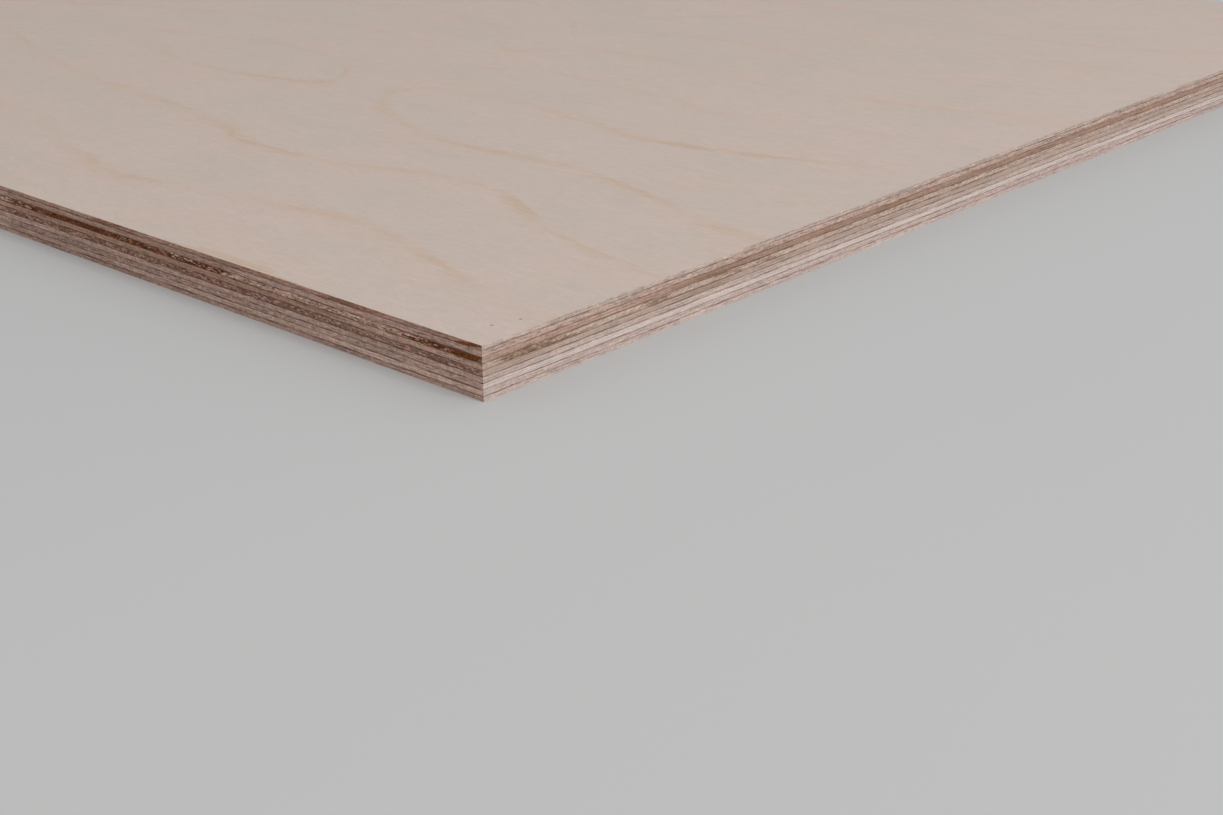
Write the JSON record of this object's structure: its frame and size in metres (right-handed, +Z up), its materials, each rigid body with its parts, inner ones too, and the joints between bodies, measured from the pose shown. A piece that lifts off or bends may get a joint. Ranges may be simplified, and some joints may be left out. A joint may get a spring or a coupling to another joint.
{
  "type": "plywood sheet",
  "caption": "Flat rectangular panel of birch plywood, glued from thin rotary-cut veneers whose grain runs along and across in turn, with square-sawn edges.",
  "frame": {"origin": "middle of the underside, where the sheet rests on the floor", "axes": "+X along the sheet and the grain of its face veneer, +Y across it, +Z up out of the face"},
  "size_m": [1, 0.5, 0.0142],
  "materials": {
    "outer_veneer": "sanded bare birch, matte",
    "crossband": "sawn bare birch, matte",
    "long_grain": "sawn bare birch, matte"
  },
  "bodies": {
    "root": {"face_veneer": "outer_veneer", "crossband_ply_2": "crossband", "long_grain_ply_3": "long_grain", "crossband_ply_4": "crossband", "long_grain_ply_5": "long_grain", "crossband_ply_6": "crossband", "long_grain_ply_7": "long_grain", "crossband_ply_8": "crossband", "back_veneer": "outer_veneer"}
  },
  "joints": []
}
